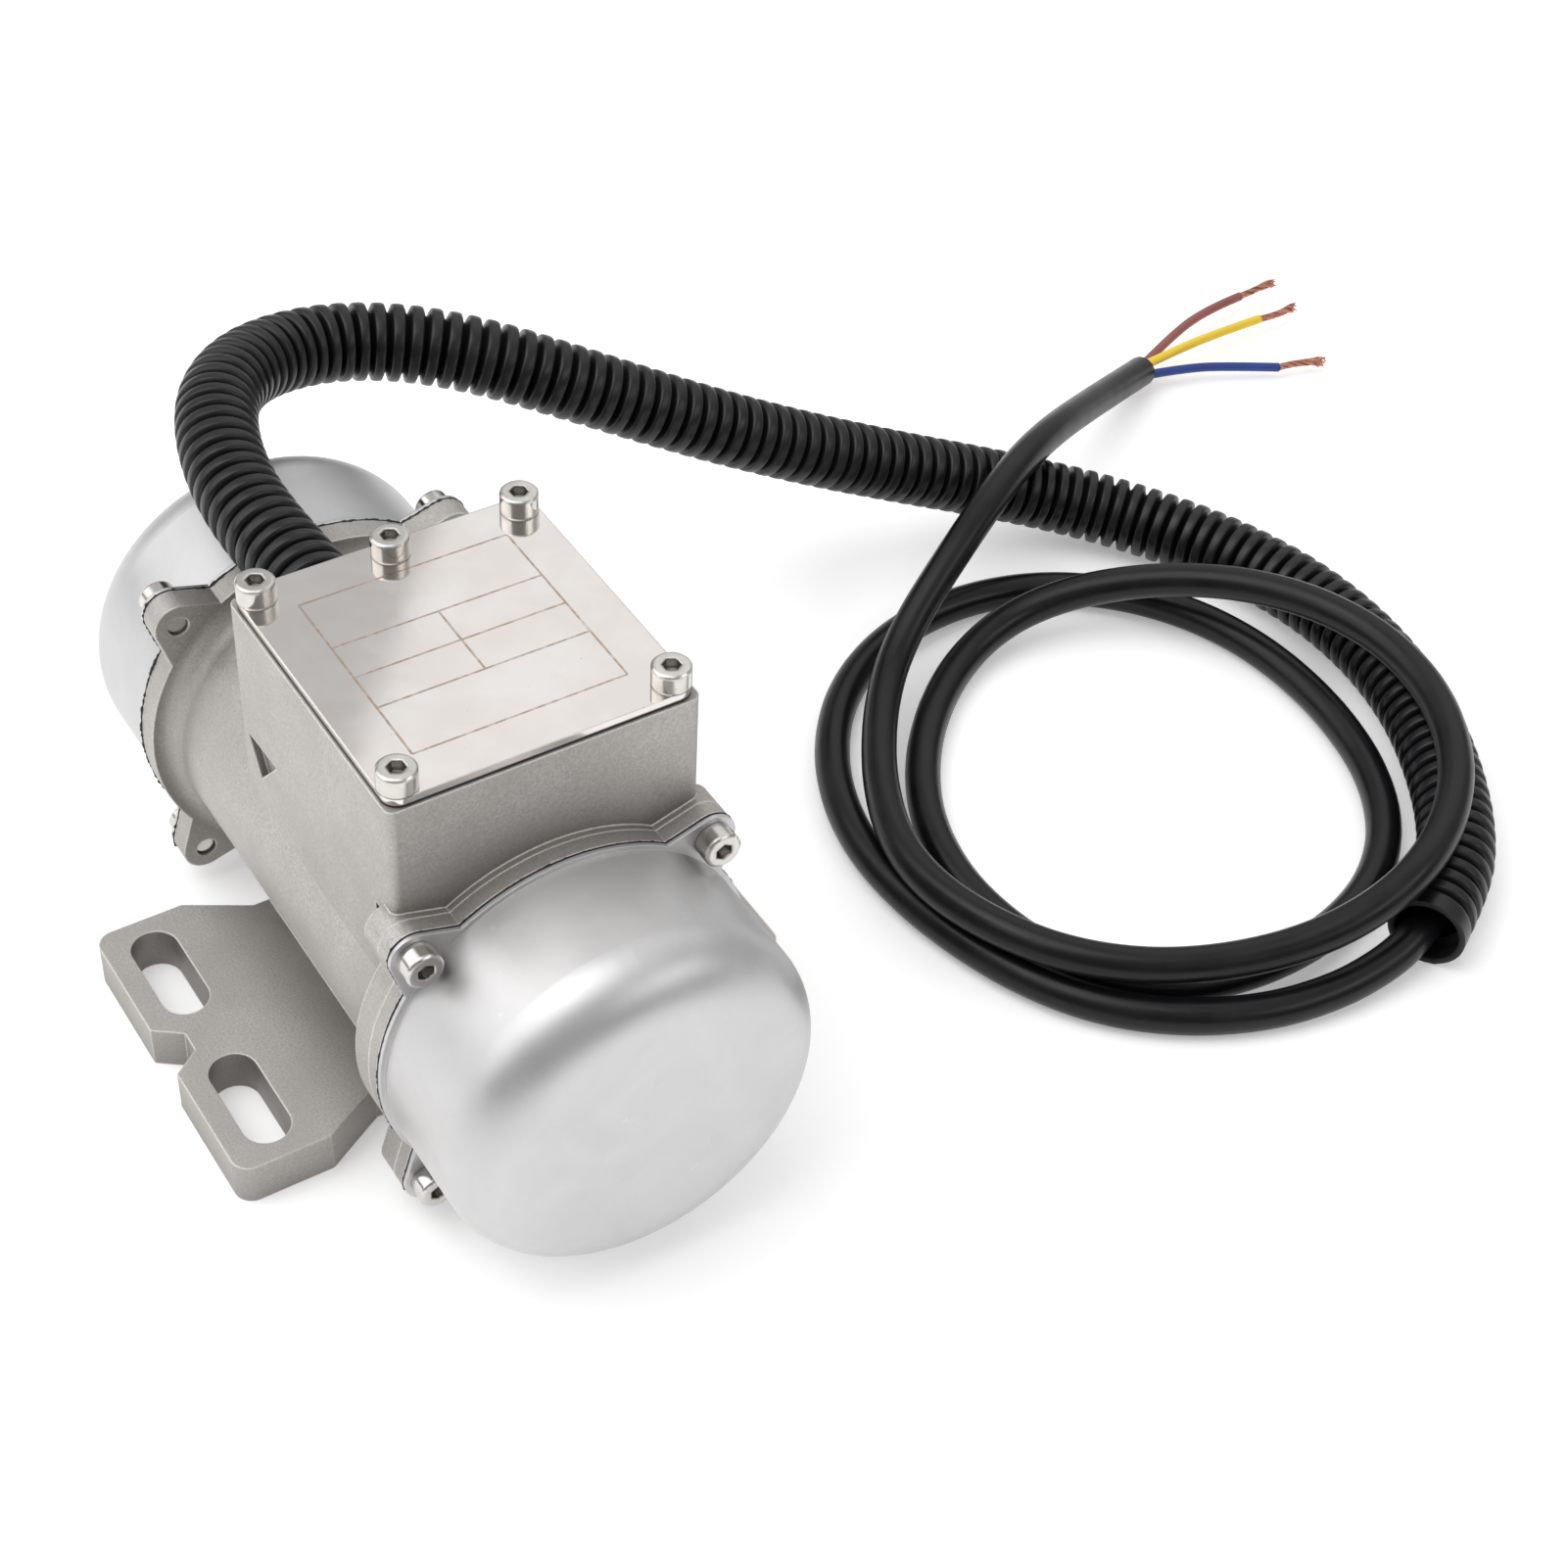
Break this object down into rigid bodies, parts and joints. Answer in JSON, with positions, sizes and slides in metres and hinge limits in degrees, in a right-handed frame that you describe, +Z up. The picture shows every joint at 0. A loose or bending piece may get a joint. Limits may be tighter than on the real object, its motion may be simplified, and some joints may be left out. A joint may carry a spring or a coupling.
{
  "type": "external vibration motor",
  "caption": "Small external vibration motor with slotted feet, capped eccentric weights, junction box, corrugated conduit and coiled three-core lead.",
  "frame": {"origin": "centre of the motor's footprint on the mounting surface, cord left out", "axes": "+X along the shaft towards the front cap, +Z up; the junction box is on top and the conduit leaves it towards -X"},
  "size_m": [0.2097, 0.3468, 0.0997],
  "materials": {
    "cast_aluminium": "bead-blasted casting",
    "drawn_sheet": "satin drawn sheet",
    "gasket_rubber": "matte",
    "polished_plate": "polished",
    "screw_steel": "satin nickel",
    "black_plastic": "matte",
    "capacitor_can": "smooth",
    "terminal_plastic": "matte",
    "lead_sleeve": "satin",
    "laminated_steel": "laminated edges",
    "winding_copper": "varnished",
    "ground_steel": "ground",
    "weight_steel": "sawn and phosphated",
    "cage_plastic": "matte",
    "conduit_black": "satin",
    "cable_black": "satin",
    "core_brown": "satin",
    "core_yellow_green": "satin with a green stripe",
    "core_blue": "satin",
    "bare_copper": "bright twisted strands"
  },
  "bodies": {
    "frame": {"housing": "cast_aluminium", "front_end_shield": "cast_aluminium", "front_cap": "drawn_sheet", "rear_cap": "drawn_sheet", "front_cap_gasket": "gasket_rubber", "rear_cap_gasket": "gasket_rubber", "cover_gasket": "gasket_rubber", "cover_plate": "polished_plate", "front_cap_screws": "screw_steel", "rear_cap_screws": "screw_steel", "cover_screws": "screw_steel", "earth_screw": "screw_steel", "conduit_adapter": "black_plastic", "conduit_locknut": "black_plastic", "capacitor": "capacitor_can", "terminal_block": "terminal_plastic", "winding_leads": "lead_sleeve", "stator_core": "laminated_steel", "stator_windings": "winding_copper", "wave_washer": "ground_steel", "conduit": "conduit_black", "cable": "cable_black", "core_brown": "core_brown", "core_earth": "core_yellow_green", "core_blue": "core_blue", "bare_strands": "bare_copper", "front_bearing_outer_ring": "ground_steel", "rear_bearing_outer_ring": "ground_steel"},
    "rotor": {"shaft": "ground_steel", "rotor_core": "laminated_steel", "front_end_ring": "cast_aluminium", "rear_end_ring": "cast_aluminium", "front_fixed_weight": "weight_steel", "front_fixed_clamp_screw": "screw_steel", "front_circlip": "ground_steel", "front_bearing_inner_ring": "ground_steel", "rear_fixed_weight": "weight_steel", "rear_fixed_clamp_screw": "screw_steel", "rear_circlip": "ground_steel", "rear_bearing_inner_ring": "ground_steel"},
    "front_setting_weight": {"front_adjustable_weight": "weight_steel", "front_adjustable_clamp_screw": "screw_steel"},
    "front_ball_train": {"front_bearing_cage": "cage_plastic", "front_bearing_balls": "ground_steel"},
    "rear_setting_weight": {"rear_adjustable_weight": "weight_steel", "rear_adjustable_clamp_screw": "screw_steel"},
    "rear_ball_train": {"rear_bearing_cage": "cage_plastic", "rear_bearing_balls": "ground_steel"}
  },
  "joints": [
    {"name": "rotor_spin", "type": "hinge", "parent": "frame", "child": "rotor", "pos_m": [0, 0, 0.038], "axis": [1, 0, 0], "continuous": true},
    {"name": "front_weight_setting", "type": "hinge", "parent": "rotor", "child": "front_setting_weight", "pos_m": [0.0683, 0, 0.038], "axis": [1, 0, 0], "range_deg": [0, 180]},
    {"name": "front_ball_orbit", "type": "hinge", "parent": "frame", "child": "front_ball_train", "pos_m": [0.0434, 0, 0.038], "axis": [1, 0, 0], "continuous": true},
    {"name": "rear_weight_setting", "type": "hinge", "parent": "rotor", "child": "rear_setting_weight", "pos_m": [-0.0683, 0, 0.038], "axis": [1, 0, 0], "range_deg": [0, 180]},
    {"name": "rear_ball_orbit", "type": "hinge", "parent": "frame", "child": "rear_ball_train", "pos_m": [-0.0426, 0, 0.038], "axis": [1, 0, 0], "continuous": true}
  ],
  "couplings": [
    {"joint": "front_ball_orbit", "follows": "rotor_spin", "ratio": 0.3682},
    {"joint": "rear_ball_orbit", "follows": "rotor_spin", "ratio": 0.3682}
  ]
}
